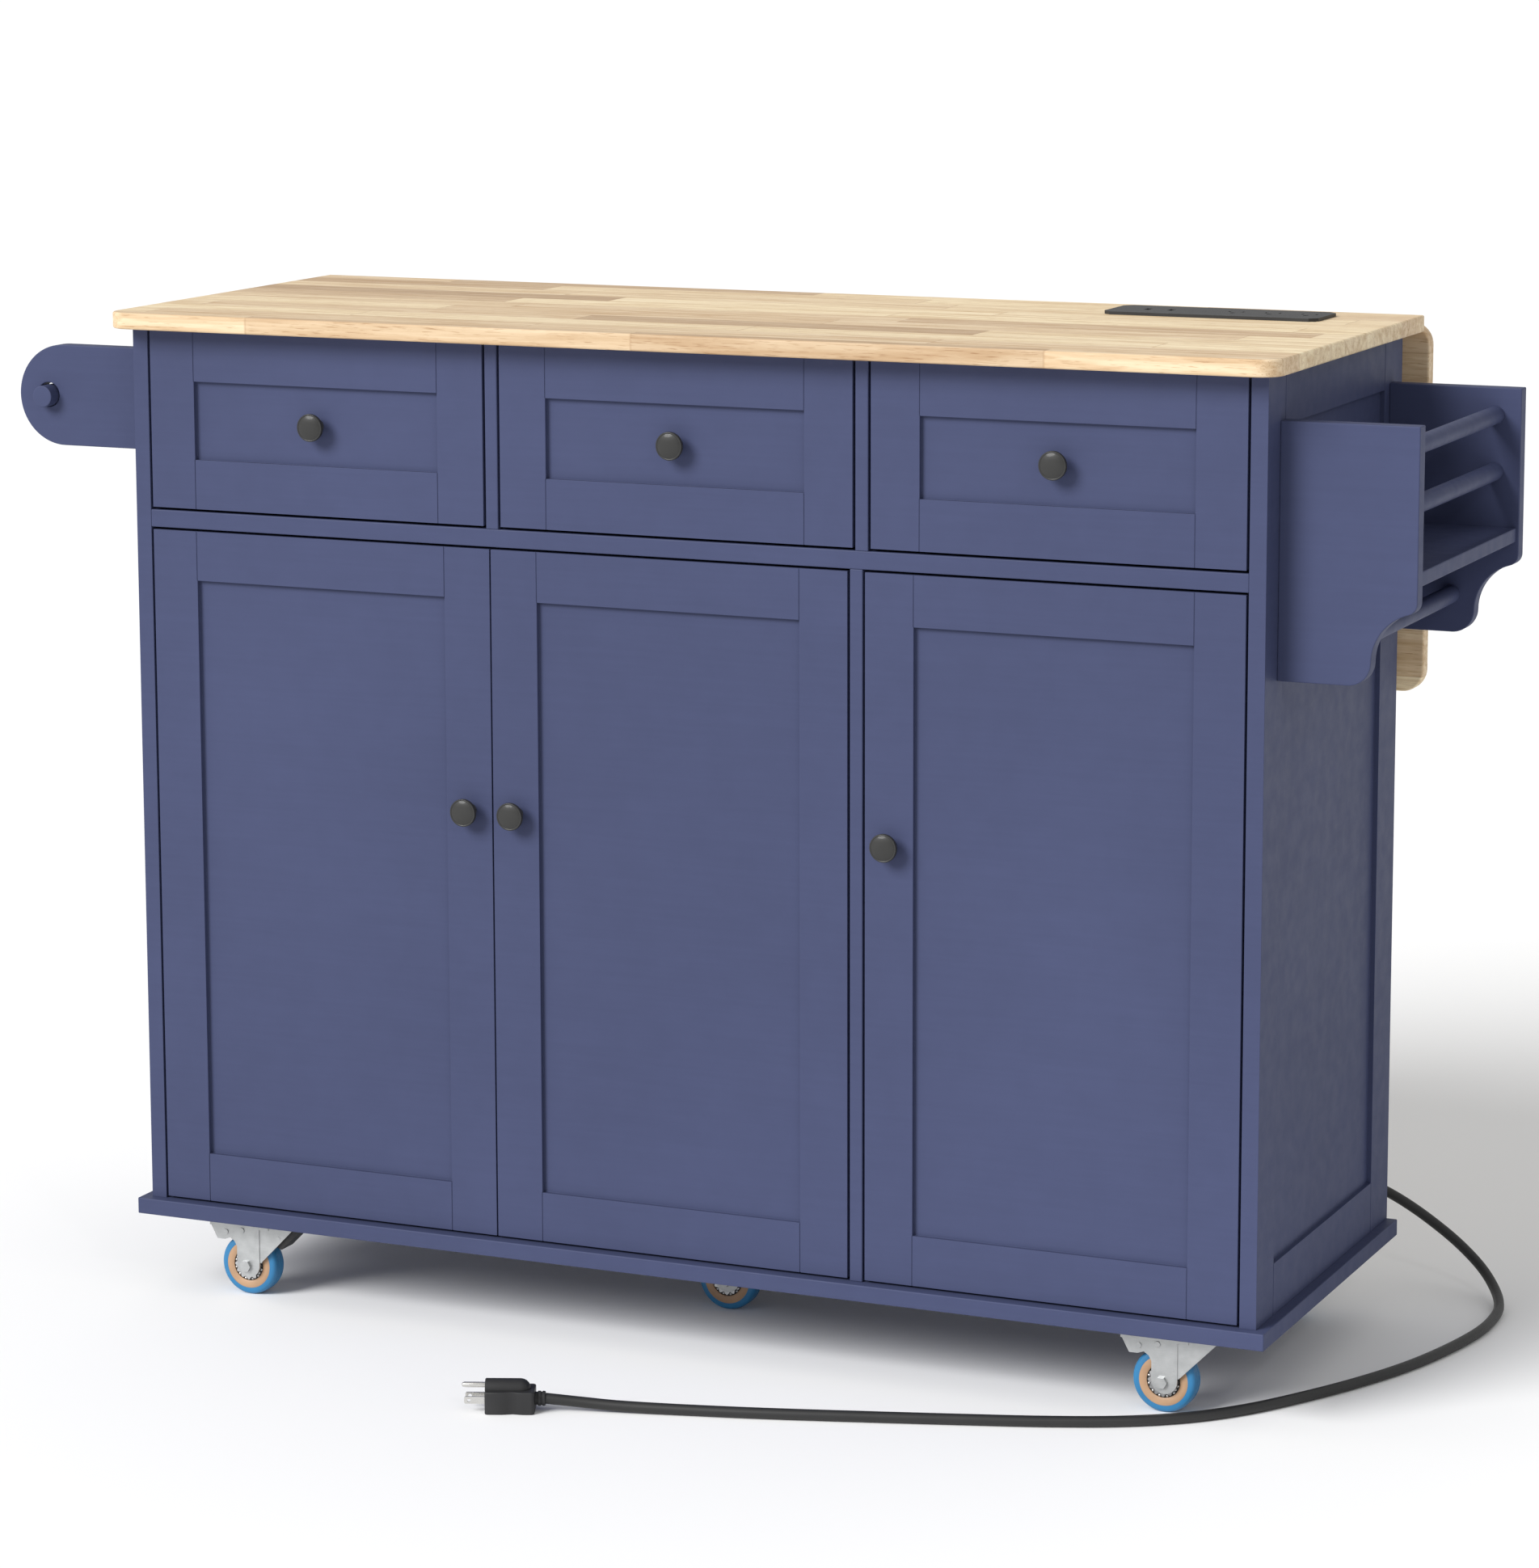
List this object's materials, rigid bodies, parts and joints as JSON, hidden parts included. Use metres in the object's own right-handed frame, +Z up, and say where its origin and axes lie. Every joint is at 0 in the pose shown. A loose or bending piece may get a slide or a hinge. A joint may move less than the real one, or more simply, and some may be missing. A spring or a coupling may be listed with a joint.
{
  "type": "kitchen island cart",
  "caption": "Rolling kitchen island with drawers over doors, a drop leaf behind, a side spice rack with towel bar, a roll holder, a worktop power strip and swivel casters.",
  "frame": {"origin": "on the floor, under the middle of the box of the cart without its free cord", "axes": "+X to the right of someone facing the drawers, along the cart's length; +Y to the back, where the leaf hangs; +Z up"},
  "size_m": [1.34, 0.7063, 0.921],
  "materials": {
    "blue_paint": "satin slate-blue paint on wood",
    "butcher_block": "oiled pale hardwood staves",
    "drawer_wood": "lacquered pale wood",
    "inside_board": "matt pale board",
    "dark_knob": "smooth charcoal lacquer",
    "plated_steel": "zinc-plated pressed steel",
    "wheel_tyre": "soft blue tread on a tan core",
    "black_plastic": "fine-grained black plastic",
    "cord_rubber": "smooth black jacket",
    "blade_metal": "nickel-plated brass"
  },
  "bodies": {
    "root": {"worktop": "butcher_block", "base_board": "blue_paint", "left_side": "blue_paint", "right_side": "blue_paint", "back_panel": "inside_board", "middle_shelf": "blue_paint", "drawer_dividers": "blue_paint", "door_divider": "blue_paint", "adjustable_shelves": "inside_board", "shelf_pins": "plated_steel", "fixed_runners": "plated_steel", "hinge_plates": "plated_steel", "holder_plates": "blue_paint", "rack_ends": "blue_paint", "rack_shelf": "blue_paint", "rack_rails": "blue_paint", "towel_bar": "blue_paint", "power_strip": "black_plastic", "leaf_brackets": "plated_steel", "cord_gland": "cord_rubber", "caster_plates": "plated_steel", "caster_screws": "plated_steel", "power_cord": "cord_rubber", "plug_body": "black_plastic", "plug_blades": "blade_metal"},
    "drawer_left": {"drawer_front_left": "blue_paint", "drawer_box_left": "drawer_wood", "drawer_knob_left": "dark_knob"},
    "drawer_centre": {"drawer_front_centre": "blue_paint", "drawer_box_centre": "drawer_wood", "drawer_knob_centre": "dark_knob"},
    "drawer_right": {"drawer_front_right": "blue_paint", "drawer_box_right": "drawer_wood", "drawer_knob_right": "dark_knob"},
    "door_left": {"door_left": "blue_paint", "door_hinges_left": "plated_steel", "door_knob_left": "dark_knob"},
    "door_centre": {"door_centre": "blue_paint", "door_hinges_centre": "plated_steel", "door_knob_centre": "dark_knob"},
    "door_right": {"door_right": "blue_paint", "door_hinges_right": "plated_steel", "door_knob_right": "dark_knob"},
    "leaf": {"drop_leaf": "butcher_block", "leaf_straps": "plated_steel"},
    "brace_left": {"leaf_brace_left": "plated_steel"},
    "brace_right": {"leaf_brace_right": "plated_steel"},
    "rod": {"towel_rod": "blue_paint"},
    "fork_front_left": {"caster_fork_front_left": "plated_steel"},
    "wheel_front_left": {"caster_wheel_front_left": "wheel_tyre"},
    "fork_front_right": {"caster_fork_front_right": "plated_steel"},
    "wheel_front_right": {"caster_wheel_front_right": "wheel_tyre"},
    "fork_centre": {"caster_fork_centre": "plated_steel"},
    "wheel_centre": {"caster_wheel_centre": "wheel_tyre"},
    "fork_rear_left": {"caster_fork_rear_left": "plated_steel"},
    "wheel_rear_left": {"caster_wheel_rear_left": "wheel_tyre"},
    "fork_rear_right": {"caster_fork_rear_right": "plated_steel"},
    "wheel_rear_right": {"caster_wheel_rear_right": "wheel_tyre"},
    "brake_front_left": {"brake_lever_front_left": "black_plastic"},
    "brake_rear_right": {"brake_lever_rear_right": "black_plastic"}
  },
  "joints": [
    {"name": "drawer_slide_left", "type": "slide", "parent": "root", "child": "drawer_left", "axis": [0, -1, 0], "range_m": [0, 0.22]},
    {"name": "drawer_slide_centre", "type": "slide", "parent": "root", "child": "drawer_centre", "axis": [0, -1, 0], "range_m": [0, 0.22]},
    {"name": "drawer_slide_right", "type": "slide", "parent": "root", "child": "drawer_right", "axis": [0, -1, 0], "range_m": [0, 0.22]},
    {"name": "door_hinge_left", "type": "hinge", "parent": "root", "child": "door_left", "pos_m": [-0.5118, -0.202, 0.4055], "axis": [0, 0, -1], "range_deg": [0, 110]},
    {"name": "door_hinge_centre", "type": "hinge", "parent": "root", "child": "door_centre", "pos_m": [0.17413, -0.202, 0.4055], "axis": [0, 0, 1], "range_deg": [0, 110]},
    {"name": "door_hinge_right", "type": "hinge", "parent": "root", "child": "door_right", "pos_m": [0.5328, -0.202, 0.4055], "axis": [0, 0, 1], "range_deg": [0, 110]},
    {"name": "leaf_hinge", "type": "hinge", "parent": "root", "child": "leaf", "pos_m": [0.0105, 0.208, 0.899], "axis": [1, 0, 0], "range_deg": [0, 90]},
    {"name": "brace_hinge_left", "type": "hinge", "parent": "root", "child": "brace_left", "pos_m": [-0.2395, 0.196, 0.759], "axis": [1, 0, 0], "range_deg": [0, 141.8]},
    {"name": "brace_hinge_right", "type": "hinge", "parent": "root", "child": "brace_right", "pos_m": [0.2605, 0.196, 0.759], "axis": [1, 0, 0], "range_deg": [0, 141.8]},
    {"name": "rod_slide", "type": "slide", "parent": "root", "child": "rod", "axis": [0, -1, 0], "range_m": [0, 0.33]},
    {"name": "swivel_front_left", "type": "hinge", "parent": "root", "child": "fork_front_left", "pos_m": [-0.4515, -0.172, 0.06], "axis": [0, 0, 1], "continuous": true},
    {"name": "spin_front_left", "type": "hinge", "parent": "fork_front_left", "child": "wheel_front_left", "pos_m": [-0.4395, -0.172, 0.0285], "axis": [0, 1, 0], "continuous": true},
    {"name": "swivel_front_right", "type": "hinge", "parent": "root", "child": "fork_front_right", "pos_m": [0.4485, -0.172, 0.06], "axis": [0, 0, 1], "continuous": true},
    {"name": "spin_front_right", "type": "hinge", "parent": "fork_front_right", "child": "wheel_front_right", "pos_m": [0.4605, -0.172, 0.0285], "axis": [0, 1, 0], "continuous": true},
    {"name": "swivel_centre", "type": "hinge", "parent": "root", "child": "fork_centre", "pos_m": [-0.0215, -0.042, 0.06], "axis": [0, 0, 1], "continuous": true},
    {"name": "spin_centre", "type": "hinge", "parent": "fork_centre", "child": "wheel_centre", "pos_m": [-0.0095, -0.042, 0.0285], "axis": [0, 1, 0], "continuous": true},
    {"name": "swivel_rear_left", "type": "hinge", "parent": "root", "child": "fork_rear_left", "pos_m": [-0.4515, 0.139, 0.06], "axis": [0, 0, 1], "continuous": true},
    {"name": "spin_rear_left", "type": "hinge", "parent": "fork_rear_left", "child": "wheel_rear_left", "pos_m": [-0.4395, 0.139, 0.0285], "axis": [0, 1, 0], "continuous": true},
    {"name": "swivel_rear_right", "type": "hinge", "parent": "root", "child": "fork_rear_right", "pos_m": [0.4485, 0.139, 0.06], "axis": [0, 0, 1], "continuous": true},
    {"name": "spin_rear_right", "type": "hinge", "parent": "fork_rear_right", "child": "wheel_rear_right", "pos_m": [0.4605, 0.139, 0.0285], "axis": [0, 1, 0], "continuous": true},
    {"name": "brake_front_left_hinge", "type": "hinge", "parent": "fork_front_left", "child": "brake_front_left", "pos_m": [-0.4055, -0.172, 0.058], "axis": [0, 1, 0], "range_deg": [0, 18]},
    {"name": "brake_rear_right_hinge", "type": "hinge", "parent": "fork_rear_right", "child": "brake_rear_right", "pos_m": [0.4945, 0.139, 0.058], "axis": [0, 1, 0], "range_deg": [0, 18]}
  ],
  "couplings": [
    {"joint": "brace_hinge_left", "follows": "leaf_hinge", "ratio": 1.5756},
    {"joint": "brace_hinge_right", "follows": "leaf_hinge", "ratio": 1.5756}
  ]
}
